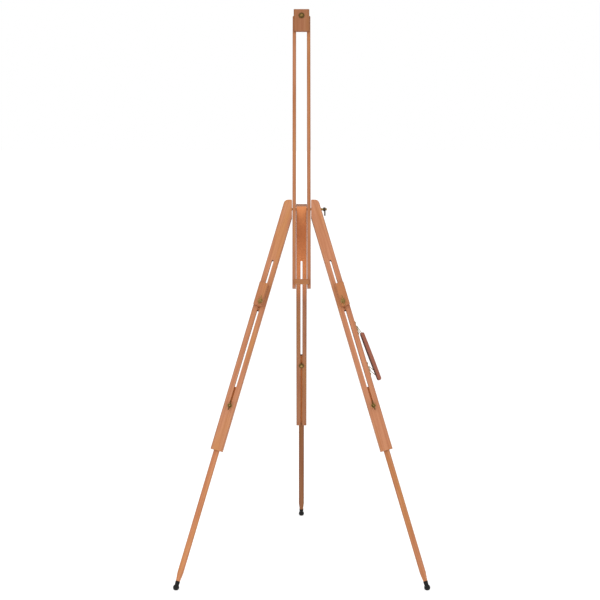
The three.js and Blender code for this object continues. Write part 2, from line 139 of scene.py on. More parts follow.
def wood(name, matrix, seed, tone=1.0, grain=2, arris=None, redder_wood_and_bounce=None, gloss=OILED, thirst=1.0):
    """Oiled beech. grain is the frame axis that the grain follows: 0 across, 2 along.

    arris is the piece's middle and half width across the frame, in millimetres, of painted shade
    along its long edges on the front and back faces, which stands in for the shaded side faces.
    The redder colour is given as its share, its tone, and the two heights from the cross bolt, in metres,
    between which it comes in; it is redder wood where it fills the whole piece and painted warm bounce
    light where it comes in at a height. thirst is how much darker its end grain has turned.
    """
    g = Graph(name)
    axes = [matrix.col[i].to_3d().normalized() for i in range(3)]
    if grain == 0:
        axes = [axes[2], axes[1], axes[0]]
    place = g.coords.outputs["Object"]
    across, depth, along = (g.dot(place, axis) for axis in axes)

    def stretched(factor):
        values = {0: across, 1: depth, 2: g.math("MULTIPLY", along, factor)}
        vector = g.add("CombineXYZ", values).outputs[0]
        shift = (seed * 0.37, seed * 0.11, seed * 0.73)
        return g.add("VectorMath", {0: vector, 1: shift}, operation="ADD").outputs[0]

    broad = g.noise(stretched(0.16), 26.0, 2.0)
    rings = g.noise(stretched(0.035), 190.0, 3.0, 0.6)
    lines = g.noise(stretched(0.022), 620.0, 2.0, 0.3)
    flecks = g.spread(g.noise(stretched(0.16), 1500.0, 1.0), 0.62, 0.7)
    knots = g.spread(g.noise(stretched(0.3), 34.0, 1.0), 0.68, 0.8)

    figure = g.math("ADD", g.math("MULTIPLY", rings, 0.62), g.math("MULTIPLY", lines, 0.38))
    light = rgb(0.655 * tone, 0.295 * tone, 0.145 * tone)
    dark = rgb(0.470 * tone, 0.170 * tone, 0.070 * tone)
    colour = g.mix(g.spread(figure, 0.39, 0.61), dark, light)
    rosy = rgb(0.600 * tone, 0.245 * tone, 0.130 * tone)
    colour = g.mix(g.spread(broad, 0.38, 0.66, 0.0, 0.55), colour, rosy)
    honey = rgb(0.610 * tone, 0.262 * tone, 0.090 * tone)
    colour = g.mix(g.spread(broad, 0.52, 0.34, 0.0, 0.75), colour, honey)
    # A redder colour from a height up: redder wood where it fills the whole piece; painted warm bounce light
    # where it comes in at a height, on the rear leg's upper inner board and on the rods inside their sleeves.
    if redder_wood_and_bounce:
        level = g.dot(place, (0.0, 0.0, 1.0))
        share, deep, low, high = redder_wood_and_bounce
        red = g.spread(level, bolt_place.z + low, bolt_place.z + high, 0.0, share)
        colour = g.mix(red, colour, rgb(1.18 * deep, 0.4 * deep, 0.125 * deep))
    colour = g.mix(g.math("MULTIPLY", flecks, 0.42), colour, rgb(0.25, 0.095, 0.045))
    colour = g.mix(g.math("MULTIPLY", knots, 0.25), colour, rgb(0.33, 0.13, 0.06))

    # Painted shade: dark, uneven lines along the long edges of the front and back faces stand in for the
    # shaded side faces.
    if arris:
        middle, half = arris
        start = matrix.translation.dot(matrix.col[0].to_3d().normalized()) + middle * MM
        sideways = matrix.col[0].to_3d().normalized()
        offset = g.math("ABSOLUTE", g.math("SUBTRACT", g.dot(place, sideways), start))
        near = g.spread(offset, (half - 3.4) * MM, (half - 0.6) * MM)
        face_on = g.spread(g.math("ABSOLUTE", g.dot(g.coords.outputs["Normal"], sideways)), 0.8, 0.6)
        shade_unevenness = g.spread(g.noise(stretched(0.3), 150.0, 3.0), 0.25, 0.6, 0.45, 1.0)
        edge = g.math("MULTIPLY", g.math("MULTIPLY", near, face_on), g.math("MULTIPLY", shade_unevenness, 0.62))
        colour = g.mix(edge, colour, rgb(0.27 * tone, 0.115 * tone, 0.055 * tone))

    # End grain drinks more oil and shows rings instead of lines.
    facing = g.math("ABSOLUTE", g.dot(g.coords.outputs["Normal"], axes[2]))
    end = g.spread(facing, 0.6, 0.85, 0.0, thirst)
    end_rings = g.noise(stretched(1.0), 420.0, 3.0, 1.2)
    end_colour = g.mix(g.spread(end_rings, 0.35, 0.65), rgb(0.24, 0.095, 0.045), rgb(0.42, 0.18, 0.085))
    colour = g.mix(end, colour, end_colour)

    relief = g.math("SUBTRACT", lines, g.math("MULTIPLY", flecks, 0.8))
    return g.finish({
        "Base Color": colour,
        "Roughness": g.spread(figure, 0.3, 0.7, 0.52, 0.4),
        "IOR": 1.48,
        "Specular IOR Level": gloss,
        "Normal": g.bump(relief, 0.22, 0.0003),
    })


def metal(name, colour, stain, roughness, amount=0.45, lustre=1.0):
    """Plated or blackened metal, stained in patches and specks and unevenly polished."""
    g = Graph(name)
    place = g.coords.outputs["Object"]
    patches = g.spread(g.noise(place, 240.0, 4.0), 0.42, 0.68)
    specks = g.spread(g.noise(place, 1300.0, 2.0), 0.6, 0.72)
    dirt = g.math("MAXIMUM", g.math("MULTIPLY", patches, amount), g.math("MULTIPLY", specks, 0.5))
    rough = g.spread(g.noise(place, 700.0, 3.0), 0.3, 0.7, roughness - 0.07, roughness + 0.12)
    return g.finish({
        "Base Color": g.mix(dirt, rgb(*colour), rgb(*stain)),
        "Metallic": lustre,
        "Roughness": rough,
        "Normal": g.bump(g.noise(place, 1800.0, 2.0), 0.12, 0.0001),
    })


def rubber(name):
    """Matt black rubber, dusty where it comes near the floor."""
    g = Graph(name)
    place = g.coords.outputs["Object"]
    height = g.dot(place, (0.0, 0.0, 1.0))
    dust = g.spread(height, 0.0005, 0.012, 0.3, 0.03)
    marks = g.math("MULTIPLY", dust, g.spread(g.noise(place, 320.0, 4.0), 0.35, 0.7))
    return g.finish({
        "Base Color": g.mix(marks, rgb(0.007, 0.0068, 0.0066), rgb(0.06, 0.055, 0.05)),
        "Roughness": g.spread(g.noise(place, 500.0, 3.0), 0.3, 0.7, 0.45, 0.65),
        "Specular IOR Level": 0.16,
        "Normal": g.bump(g.noise(place, 2400.0, 3.0), 0.3, 0.0002),
    })


def leather(name, colour, deep, roughness):
    """Vegetable-tanned leather: pebbled grain, darker creases and rubbed patches."""
    g = Graph(name)
    place = g.coords.outputs["Object"]
    warped = g.add("VectorMath", {
        0: place, 1: g.add("TexNoise", {"Vector": place, "Scale": 500.0}).outputs["Color"], 2: (0.0004,) * 3,
    }, operation="MULTIPLY_ADD")
    values = {"Vector": place, "Scale": 1250.0, "Randomness": 0.9}
    cells = g.add("TexVoronoi", values, feature="DISTANCE_TO_EDGE").outputs["Distance"]
    pebbles = g.spread(cells, 0.0, 0.16)
    patches = g.spread(g.noise(warped.outputs[0], 90.0, 4.0), 0.35, 0.7)
    base = g.mix(g.math("MULTIPLY", patches, 0.6), rgb(*colour), rgb(*deep))
    base = g.mix(g.spread(pebbles, 0.0, 1.0, 0.55, 0.0), base, rgb(*(0.55 * c for c in deep)))
    return g.finish({
        "Base Color": base,
        "Roughness": g.spread(patches, 0.0, 1.0, roughness, roughness + 0.14),
        "Normal": g.bump(g.math("ADD", pebbles, g.math("MULTIPLY", patches, 0.5)), 0.4, 0.0002),
    })


def thread(name):
    """Waxed thread, with the twist of its strands."""
    g = Graph(name)
    twist = g.noise(g.coords.outputs["Object"], 1600.0, 2.0)
    return g.finish({
        "Base Color": g.mix(g.spread(twist, 0.35, 0.65), rgb(0.1, 0.04, 0.02), rgb(0.2, 0.09, 0.045)),
        "Roughness": g.spread(twist, 0.3, 0.7, 0.7, 0.85),
        "Normal": g.bump(twist, 0.5, 0.0001),
    })


BRASS = metal("brass", (0.36, 0.24, 0.075), (0.11, 0.065, 0.025), 0.3)
WIRE = metal("brass_wire", (0.33, 0.23, 0.085), (0.1, 0.065, 0.03), 0.26)
# Brass painted dark: a painted reflection on the rims of bolt heads and on the clamp's front washer, and
# painted shade on the wing nuts.
DARK_BRASS = metal("brass_painted_shade_and_reflection", (0.15, 0.09, 0.03), (0.06, 0.035, 0.014), 0.34)
BRONZE = metal("bronzed_plate", (0.3, 0.15, 0.07), (0.12, 0.06, 0.03), 0.45)
STEEL = metal("dark_steel", (0.045, 0.036, 0.028), (0.12, 0.07, 0.035), 0.42, 0.3, 0.9)
RUBBER = rubber("rubber")
LEATHER = leather("leather", (0.31, 0.085, 0.038), (0.2, 0.05, 0.024), 0.42)
LEATHER_EDGE = leather("leather_edge", (0.1, 0.032, 0.016), (0.06, 0.02, 0.011), 0.55)
THREAD = thread("waxed_thread")


# ---------------------------------------------------------------- hardware sizes, in millimetres
GAP = 0.3  # air between two parts that touch
WASHER = 1.5  # the gap under a washer and the washer
SEAT = 1.8  # a washer with a gap on both sides: where a nut or a head starts
M5, M5_HOLE = 2.5, 2.8  # radii, as all that follow
M6, M6_HOLE = 3.0, 3.3
FINE_PITCH = 0.8
THREAD_DEPTH = 0.28
THREADED = 14.0  # length of the thread at a bolt's end
M8, M8_PITCH = 4.0, 1.25
NARROW, WIDE = 7.5, 9.0  # outer radii of the washers
WING_THICK = 2.5


# ---------------------------------------------------------------- mesh helpers
def finish_mesh(bm, name, matrix, sharp=0.7):
    """Turns a bmesh made in a group's millimetres into a mesh in the easel's metres.

    Edges bent by more than sharp, in radians, stay hard.
    """
    bmesh.ops.recalc_face_normals(bm, faces=bm.faces)
    for edge in bm.edges:
        edge.smooth = len(edge.link_faces) == 2 and edge.calc_face_angle(0.0) < sharp
    for face in bm.faces:
        face.smooth = True
    mesh = bpy.data.meshes.new(name)
    bm.to_mesh(mesh)
    bm.free()
    mesh.transform(matrix)
    return mesh


def piece(name, body, mesh, material, replaced=()):
    obj = bpy.data.objects.new(name, mesh)
    bpy.context.scene.collection.objects.link(obj)
    mesh.materials.append(material)
    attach(obj, body)
    if replaced:
        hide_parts(*replaced)
    return obj


def turned(profile, name, matrix, segments=40, ring=False, sharp=0.7):
    """A turned shape about local Z from [(radius, height)]; ring closes the profile on itself."""
    bm = bmesh.new()
    rings = []
    angles = [2 * math.pi * i / segments for i in range(segments)]
    for radius, height in profile:
        if radius < 1e-6:
            rings.append([bm.verts.new((0.0, 0.0, height))])
            continue
        rings.append([bm.verts.new((radius * math.cos(a), radius * math.sin(a), height)) for a in angles])
    following = rings[1:] + (rings[:1] if ring else [])
    for low, high in zip(rings, following):
        for i in range(segments):
            j = (i + 1) % segments
            corners = [low[i % len(low)], low[j % len(low)], high[j % len(high)], high[i % len(high)]]
            corners = list(dict.fromkeys(corners))
            if len(corners) > 2:
                bm.faces.new(corners)
    return finish_mesh(bm, name, matrix, sharp)


def along_y(key, x=0.0, z=0.0):
    """Local Z becomes the +Y of a group's frame, through (x, z)."""
    return FRAMES[key] @ Matrix.Translation((x, 0.0, z)) @ Matrix.Rotation(-math.pi / 2, 4, "X")


def along_x(key):
    return FRAMES[key] @ Matrix.Rotation(math.pi / 2, 4, "Y")


def washer(name, body, key, at, y0, y1, outer, hole, replaced, material=BRASS):
    soft = 0.3
    profile = [
        (hole, y0 + soft), (hole + soft, y0), (outer - soft, y0), (outer, y0 + soft),
        (outer, y1 - soft), (outer - soft, y1), (hole + soft, y1), (hole, y1 - soft),
    ]
    mesh = turned(profile, name, along_y(key, *at), 44, ring=True)
    return piece(name, body, mesh, material, [replaced])


def thread_profile(radius, start, end, pitch):
    """Points of a screw thread between two heights."""
    points = []
    height = start
    while height + pitch < end:
        points += [(radius, height), (radius, height + 0.12 * pitch)]
        root = radius - THREAD_DEPTH
        points += [(root, height + 0.5 * pitch), (root, height + 0.6 * pitch)]
        height += pitch
    points.append((radius, height))
    return points


def dome_points(radius, rise, base, steps=9, until=90.0):
    points = []
    for i in range(steps + 1):
        angle = math.radians(until * i / steps)
        points.append((radius * math.cos(angle), base + rise * math.sin(angle)))
    return points


def domed_bolt(name, body, key, at, head, tip, radius, socket, replaced, dome=6.4, rise=3.0):
    """A bolt along Y from its domed head to its tip; socket is the radius of the head's recess, or 0."""
    sign = 1.0 if head > tip else -1.0
    reach = abs(head - tip)
    profile = [(0.0, 0.0), (radius - 0.7, 0.0), (radius, 0.7)]
    profile += thread_profile(radius, 0.8, min(THREADED, reach - 2), FINE_PITCH)
    profile += [(radius, reach - 0.1), (dome - 0.3, reach), (dome, reach + 0.25)]
    until = 90.0 if not socket else math.degrees(math.acos(socket / dome))
    arc = dome_points(dome, rise, reach, 10, until)[1:]
    profile += arc
    if socket:
        top = arc[-1][1]
        profile += [(socket - 0.25, top - 0.1), (socket - 0.5, top - 1.5), (0.0, top - 1.7)]
    flip = Matrix.Rotation(0.0 if sign > 0 else math.pi, 4, "X")
    matrix = along_y(key, *at) @ Matrix.Translation((0.0, 0.0, tip)) @ flip
    mesh = turned(profile, name, matrix, 44)
    return piece(name, body, mesh, BRASS, [replaced])


def extruded(bm, outline, thickness):
    """Adds an outline in X and Z to bm, thickness across Y."""
    half = thickness / 2
    rings = [[bm.verts.new((x, y, z)) for x, z in outline] for y in (-half, half)]
    bm.faces.new(rings[0])
    bm.faces.new(reversed(rings[1]))
    for i in range(len(outline)):
        j = (i + 1) % len(outline)
        bm.faces.new((rings[0][i], rings[1][i], rings[1][j], rings[0][j]))


def curve_points(start, control, end, steps):
    points = []
    for i in range(1, steps + 1):
        t = i / steps
        a, b, c = (1 - t) ** 2, 2 * t * (1 - t), t * t
        points.append(tuple(a * p + b * q + c * r for p, q, r in zip(start, control, end)))
    return points


def cast(bm, name, voxel, rounds):
    """Melts overlapping closed shapes in bm into one cast skin with soft corners."""
    bmesh.ops.recalc_face_normals(bm, faces=bm.faces)
    mesh = bpy.data.meshes.new(name + "_raw")
    bm.to_mesh(mesh)
    bm.free()
    obj = bpy.data.objects.new(name + "_raw", mesh)
    bpy.context.scene.collection.objects.link(obj)
    skin = obj.modifiers.new("skin", "REMESH")
    skin.mode = "VOXEL"
    skin.voxel_size = voxel
    soft = obj.modifiers.new("soft", "SMOOTH")
    soft.factor = 0.5
    soft.iterations = rounds
    graph = bpy.context.evaluated_depsgraph_get()
    done = bpy.data.meshes.new_from_object(obj.evaluated_get(graph))
    bpy.data.objects.remove(obj)
    for face in done.polygons:
        face.use_smooth = True
    return done


def add_ring(bm, inner, rings):
    """Adds a closed ring about Z to bm: rings is [(outer radius, height)] from the bottom up."""
    segments = 40
    angles = [2 * math.pi * i / segments for i in range(segments)]
    made = []
    for radius, height in [(inner, rings[0][1])] + rings + [(inner, rings[-1][1])]:
        made.append([bm.verts.new((radius * math.cos(a), radius * math.sin(a), height)) for a in angles])
    for low, high in zip(made, made[1:] + made[:1]):
        for i in range(segments):
            j = (i + 1) % segments
            bm.faces.new((low[i], low[j], high[j], high[i]))


# ---------------------------------------------------------------- wing nuts
def wing_nut_mesh(hole):
    """Wings along local X, axis along local Z, seat at 0, in millimetres."""
    bm = bmesh.new()
    add_ring(bm, hole, [(5.3, 0.0), (5.65, 0.35), (5.65, 1.4), (4.9, 3.4), (4.5, 7.4), (4.1, 8.0)])
    for sign in (-1, 1):
        outline = [(3.4, 1.0), (7.0, 1.5)]
        outline += curve_points((7.0, 1.5), (16.5, 6.0), (15.9, 13.0), 8)
        outline += curve_points((15.9, 13.0), (14.5, 16.8), (11.6, 14.5), 6)
        outline += curve_points((11.6, 14.5), (9.5, 9.5), (3.4, 7.5), 8)
        extruded(bm, [(sign * x, z) for x, z in outline], WING_THICK)
    return cast(bm, "wing_nut", 0.42, 3)


NUTS = {"m5": wing_nut_mesh(2.85), "m6": wing_nut_mesh(3.3)}


# Dark brass by default: the nuts' darkness is painted shade.
def wing_nut(name, body, key, at, face, sign, size="m5", material=DARK_BRASS):
    mesh = NUTS[size].copy()
    turn = Matrix(((0, sign, 0), (0, 0, sign), (1, 0, 0))).to_4x4()
    mesh.transform(FRAMES[key] @ Matrix.Translation((at[0], face, at[1])) @ turn)
    return piece(name + "_skin", body, mesh, material, [name])


def paint_dark_rim_reflection(bolt, key, at, inside):
    """Paints the rim of a bolt's head dark, further than inside from its axis, leaving a bright centre: a
    painted dark reflection around a painted highlight.
    """
    bolt.data.materials.append(DARK_BRASS)
    axis = FRAMES[key].col[1].to_3d().normalized()
    centre = FRAMES[key] @ Vector((at[0], 0.0, at[1]))
    for face in bolt.data.polygons:
        spoke = face.center - centre
        if (spoke - axis * spoke.dot(axis)).length > inside * MM:
            face.material_index = 1


# ---------------------------------------------------------------- telescoping rods and their clamps
HALF_THICK = 12.0  # half a leg's thickness
RODS = {  # top of the rod, clamp bolt below it, shift through the leg's thickness
    "left": (601.0, 62.0, 0.0),
    "right": (601.0, 62.0, 0.0),
    "rear": (527.0, 36.0, -3.0),
}
ROD_LENGTH = 622.0
FOOT_LENGTH = 29.0
FOOT_BALL = 9.55  # radius of the ball at a foot's end
ROD_MIDDLE = 0.75  # middle of the rod's thickness, through the leg's thickness
ROD_BOLT_OUT = 12.0  # how far a rod's bolt stands out of the leg
ROD_BOLT_HIGHLIGHT = 3.4  # radius of the painted highlight at the centre of its head


def foot(key):
    """A rubber ferrule: rolled lip, gripping ribs and a ball, worn flat on the floor."""
    top, _, shift = RODS[key]
    start = -(top + ROD_LENGTH) - GAP
    ball = start - FOOT_LENGTH + FOOT_BALL
    profile = [(0.0, start - 0.6), (6.2, start - 0.5), (6.7, start), (7.3, start - 0.15), (7.4, start - 0.8)]
    for i in range(3):
        level = start - 1.8 - 2.1 * i
        profile += [(7.0 - 0.1 * i, level), (7.0 - 0.1 * i, level - 0.5)]
        profile += [(7.35 - 0.1 * i, level - 0.9), (7.35 - 0.1 * i, level - 1.6)]
    profile += [(6.85, start - 8.6), (6.8, ball + 8.4)]
    for i in range(19):
        angle = math.radians(48 - 138 * i / 18)
        profile.append((max(0.0, FOOT_BALL * math.cos(angle)), ball + FOOT_BALL * math.sin(angle)))
    middle = FRAMES[key] @ Matrix.Translation((0.0, ROD_MIDDLE + shift, 0.0))
    mesh = turned(profile, f"{key}_foot_rubber", middle, 56, sharp=1.2)
    for vertex in mesh.vertices:
        vertex.co.z = max(vertex.co.z, 0.0)
    return piece(f"{key}_foot_rubber", f"{key}_rod", mesh, RUBBER, [f"{key}_foot"])


for key, (rod_top, bolt_down, shift) in RODS.items():
    at = (0.0, -(rod_top + bolt_down))
    low, high = -HALF_THICK + shift, HALF_THICK + shift
    body = f"{key}_rod"
    foot(key)
    washer(
        f"{body}_back_washer_turned", body, key, at, high + GAP, high + WASHER, WIDE, M5_HOLE,
        f"{body}_back_washer", DARK_BRASS,
    )
    washer(
        f"{body}_front_washer_turned", body, key, at, low - WASHER, low - GAP, NARROW, M5_HOLE,
        f"{body}_front_washer",
    )
    bolt = domed_bolt(
        f"{body}_bolt_turned", body, key, at, high + SEAT, low - ROD_BOLT_OUT, M5, 0.0, f"{body}_bolt",
    )
    paint_dark_rim_reflection(bolt, key, at, ROD_BOLT_HIGHLIGHT)
    wing_nut(f"{body}_wing_nut", f"{body}_nut", key, at, low - SEAT, -1)

# ---------------------------------------------------------------- canvas shelves
SHELF_OUT = -34.3  # the block's front face
SHELF_BOLT = (0.0, -320.0)
SHELF_BOLT_HEAD = 14.6  # where its head starts, behind the keeper plate
SHELF_BOLT_OUT = 13.0  # how far it stands out of the block
SHELF_PIN = -340.0
KEEPER_THICK = 1.8
KEEPER_MIDDLE = 13.3  # middle of the keeper plate's thickness, behind the leg


def keeper(key):
    """The plate behind the leg and its guide pin, which shows as a dark dot under the shelf."""
    bm = bmesh.new()
    top, bottom, half, corner = -308.0, SHELF_PIN - 7.0, 8.0, 4.0
    outline = []
    for x, z, turn in ((half, top, 0), (-half, top, 90), (-half, bottom, 180), (half, bottom, 270)):
        centre = (math.copysign(half - corner, x), z + (corner if z == bottom else -corner))
        for i in range(7):
            angle = math.radians(turn + 15 * i)
            outline.append((centre[0] + corner * math.cos(angle), centre[1] + corner * math.sin(angle)))
    extruded(bm, outline, KEEPER_THICK)
    edges = [e for e in bm.edges if e.calc_face_angle(0.0) > 1.2]
    bmesh.ops.bevel(bm, geom=edges, offset=0.3, segments=2, affect="EDGES")
    bmesh.ops.translate(bm, verts=bm.verts, vec=(0.0, KEEPER_MIDDLE, 0.0))
    mesh = finish_mesh(bm, f"{key}_shelf_keeper_plate", FRAMES[key])
    body = f"{key}_shelf_slide"
    piece(f"{key}_shelf_keeper_plate", body, mesh, BRONZE, [f"{key}_shelf_keeper"])
    profile = [(0.0, -11.4), (1.9, -11.4), (2.4, -11.1), (2.6, -10.5), (2.6, 12.4), (0.0, 12.4)]
    mesh = turned(profile, f"{key}_shelf_pin", along_y(key, 0.0, SHELF_PIN), 32)
    piece(f"{key}_shelf_pin", body, mesh, BRONZE)
    tongue(key, body)


def tongue(key, body):
    """The wooden tongue that fills the slot under the block and carries the pin."""
    bm = bmesh.new()
    half, top, bottom = 2.7, -331.0, SHELF_PIN - 5.5
    outline = [(half, top), (-half, top)]
    for i in range(9):
        angle = math.radians(180 + 22.5 * i)
        outline.append((half * math.cos(angle), bottom + half + half * math.sin(angle)))
    extruded(bm, outline, 22.5)
    bmesh.ops.translate(bm, verts=bm.verts, vec=(0.0, 0.15, 0.0))
    mesh = finish_mesh(bm, f"{key}_shelf_tongue", FRAMES[key])
    material = wood(f"beech_{key}_tongue", FRAMES[key], 30 + len(key), 0.3, redder_wood_and_bounce=(0.9, 0.4, *ALL_OVER))
    piece(f"{key}_shelf_tongue", body, mesh, material)


for key in ("left", "right"):
    slide = f"{key}_shelf_slide"
    washer(
        f"{key}_shelf_washer_turned", slide, key, SHELF_BOLT, SHELF_OUT - WASHER, SHELF_OUT - GAP, NARROW,
        M5_HOLE, f"{key}_shelf_washer",
    )
    domed_bolt(
        f"{key}_shelf_bolt_turned", slide, key, SHELF_BOLT, SHELF_BOLT_HEAD, SHELF_OUT - SHELF_BOLT_OUT,
        M5, 0.0, f"{key}_shelf_bolt",
    )
    wing_nut(
        f"{key}_shelf_wing_nut", f"{key}_shelf_nut", key, SHELF_BOLT, SHELF_OUT - SEAT, -1,
        material=BRASS,
    )
    keeper(key)

# ---------------------------------------------------------------- canvas clamp at the top of the mast
CLAMP_BOLT = (0.0, 655.0)
JAW_FRONT = -26.3  # outer faces of the two jaws
JAW_BACK = 24.3
CLAMP_WASHER = 10.0
CLAMP_BOLT_OUT = 13.0  # how far it stands out of the back jaw
# Radius of the painted highlight at the centre of the clamp bolt's head; the rest of the head and the dark
# front washer are a painted dark reflection around it.
CLAMP_BOLT_HIGHLIGHT = 3.6
washer(
    "clamp_front_washer_turned", "canvas_clamp", "front", CLAMP_BOLT, JAW_FRONT - WASHER, JAW_FRONT - GAP,
    CLAMP_WASHER, M6_HOLE, "clamp_front_washer", DARK_BRASS,
)
washer(
    "clamp_back_washer_turned", "canvas_clamp", "front", CLAMP_BOLT, JAW_BACK + GAP, JAW_BACK + WASHER,
    WIDE, M6_HOLE, "clamp_back_washer",
)
clamp_bolt = domed_bolt(
    "clamp_bolt_turned", "canvas_clamp", "front", CLAMP_BOLT, JAW_FRONT - SEAT, JAW_BACK + CLAMP_BOLT_OUT,
    M6, 3.3, "clamp_bolt", dome=7.0, rise=3.4,
)
paint_dark_rim_reflection(clamp_bolt, "front", CLAMP_BOLT, CLAMP_BOLT_HIGHLIGHT)
wing_nut("clamp_wing_nut", "clamp_nut", "front", CLAMP_BOLT, JAW_BACK + SEAT, 1, "m6")

# ---------------------------------------------------------------- cross bolt and lever nut
TAIL_OUT = 75.5  # the lever's tail from the easel's middle
TAIL_THICK = 4.6


def cross_bolt():
    """The bolt from left to right: its head sunk in the left leg, its thread outside the right."""
    profile = [(0.0, -59.2), (1.6, -59.2), (1.9, -59.8), (7.3, -60.0), (7.9, -59.4), (8.0, -58.0)]
    profile += [(8.0, -55.9), (7.6, -55.5), (4.05, -55.45), (M8, -54.8), (M8, 57.0)]
    profile += thread_profile(M8, 57.5, 80.8, M8_PITCH)
    profile += [(3.9, 81.2), (3.1, 82.0), (0.0, 82.0)]
    mesh = turned(profile, "pivot_bolt_turned", along_x("front"), 48)
    return piece("pivot_bolt_turned", "pivot", mesh, BRASS, ["pivot_bolt"])


def lever_nut():
    """A blackened lever nut: a boss on the bolt and a flat tail that hangs down."""
    bm = bmesh.new()
    add_ring(bm, 4.2, [(6.1, 70.25), (6.5, 70.7), (6.5, 76.6), (5.9, 77.95)])
    spin = Matrix.Rotation(math.pi / 2, 4, "Y")
    bmesh.ops.transform(bm, matrix=spin, verts=bm.verts)
    outline = [(-3.6, -4.3), (-4.5, -18.0)]
    outline += curve_points((-4.5, -18.0), (0.0, -25.4), (4.5, -18.0), 10)
    outline += [(3.6, -4.3)]
    tail = bmesh.new()
    extruded(tail, outline, TAIL_THICK)
    place = Matrix.Translation((TAIL_OUT, 0.0, 0.0)) @ Matrix.Rotation(math.pi / 2, 4, "Z")
    bmesh.ops.transform(tail, matrix=place, verts=tail.verts)
    held = bpy.data.meshes.new("tail")
    tail.to_mesh(held)
    tail.free()
    bm.from_mesh(held)
    mesh = cast(bm, "lever_nut", 0.4, 3)
    mesh.transform(FRAMES["front"])
    return piece("tilt_lever_cast", "tilt_lever", mesh, STEEL, ["tilt_lever"])


cross_bolt()
lever_nut()

# ---------------------------------------------------------------- carrying handle
# Across the right leg, outward, and down along it: a Vector here is (across, along).
LEG_HALF = 19.25
EYE_X = LEG_HALF + 3.2  # the eyes' axis, on which the handle swings
HOLES = {"upper": Vector((LEG_HALF + 12.5, -439.0)), "lower": Vector((LEG_HALF + 22.5, -575.0))}
PLATES = {"upper": -411.0, "lower": -546.0}
ALONG = (HOLES["lower"] - HOLES["upper"]).normalized()
OUTWARD = Vector((-ALONG.y, ALONG.x))
BAR_HALF = 7.6  # half length of a bail's straight ends
WIRE_RADIUS = 1.0
WIRE_BEND = 2.2
PLATE_THICK = 1.2
SCREW_OUT = 17.5  # a screw from the middle of its plate


def rounded_loop(corners):
    """A closed path in X and Z with each corner turned on a small bend."""
    path = []
    for i, here in enumerate(corners):
        before, after = corners[i - 1], corners[(i + 1) % len(corners)]
        start = here + (before - here).normalized() * WIRE_BEND
        end = here + (after - here).normalized() * WIRE_BEND
        path.append(start)
        path += [Vector(p) for p in curve_points(start, here, end, 6)]
    return path


def wire_loop(name, path, matrix):
    """A round wire along a closed path in X and Z."""
    bm = bmesh.new()
    sides = 14
    rings = []
    for i, here in enumerate(path):
        run = (path[(i + 1) % len(path)] - path[i - 1]).normalized()
        across = Vector((-run.y, run.x))
        ring = []
        for k in range(sides):
            angle = 2 * math.pi * k / sides
            spot = here + across * WIRE_RADIUS * math.cos(angle)
            ring.append(bm.verts.new((spot.x, WIRE_RADIUS * math.sin(angle), spot.y)))
        rings.append(ring)
    for low, high in zip(rings, rings[1:] + rings[:1]):
        for k in range(sides):
            m = (k + 1) % sides
            bm.faces.new((low[k], low[m], high[m], high[k]))
    return finish_mesh(bm, name, matrix)


for level, hole in HOLES.items():
    plate = PLATES[level]
    corners = [
        Vector((EYE_X, plate + BAR_HALF)), hole - ALONG * BAR_HALF,
        hole + ALONG * BAR_HALF, Vector((EYE_X, plate - BAR_HALF)),
    ]
    loop = wire_loop(f"handle_bail_{level}_wire", rounded_loop(corners), FRAMES["right"])
    piece(f"handle_bail_{level}_wire", "handle", loop, WIRE, [f"handle_bail_{level}"])
    for i, screw in enumerate((plate - SCREW_OUT, plate + SCREW_OUT)):
        base = LEG_HALF + GAP + PLATE_THICK + GAP
        profile = [(0.0, LEG_HALF + 0.1), (1.2, LEG_HALF + 0.2), (1.4, base - 0.2), (3.2, base - 0.02)]
        profile += [(3.4, base + 0.15)] + dome_points(3.4, 1.6, base + 0.1, 7, 72.0)[1:]
        profile += [(0.9, base + 1.5), (0.7, base + 0.7), (0.0, base + 0.6)]
        name = f"handle_screw_{level}_{i + 1}"
        matrix = FRAMES["right"] @ Matrix.Translation((0.0, 0.0, screw))
        matrix = matrix @ Matrix.Rotation(math.pi / 2, 4, "Y")
        mesh = turned(profile, name + "_turned", matrix, 28)
        piece(name + "_turned", "right_leg", mesh, BRASS, [name])

GRIP_START = HOLES["upper"] - ALONG * 10.0
GRIP_LENGTH = (HOLES["lower"] + ALONG * 16.0 - GRIP_START).length
GRIP_THICK = 8.1  # half sizes
GRIP_WIDE = 7.9
STITCH_PITCH = 4.2
STITCH_LENGTH = 2.9
SEAM = -0.5  # the stitched line, as a share of the grip's half thickness


def grip_size(run):
    """Half thickness and half width of the grip at a run from its upper end."""
    near = min(run, GRIP_LENGTH - run)
    closing = math.sqrt(max(0.0, 1 - (1 - min(near / 6.0, 1.0)) ** 2))
    crown = math.sin(math.pi * run / GRIP_LENGTH)
    thick = (GRIP_THICK - 0.9 + 0.9 * crown) * (0.12 + 0.88 * closing)
    wide = (GRIP_WIDE - 0.7 + 0.7 * crown) * (0.3 + 0.7 * closing)
    return thick, wide


def grip_point(run, outward, side):
    spot = GRIP_START + ALONG * run + OUTWARD * outward
    return (spot.x, side, spot.y)


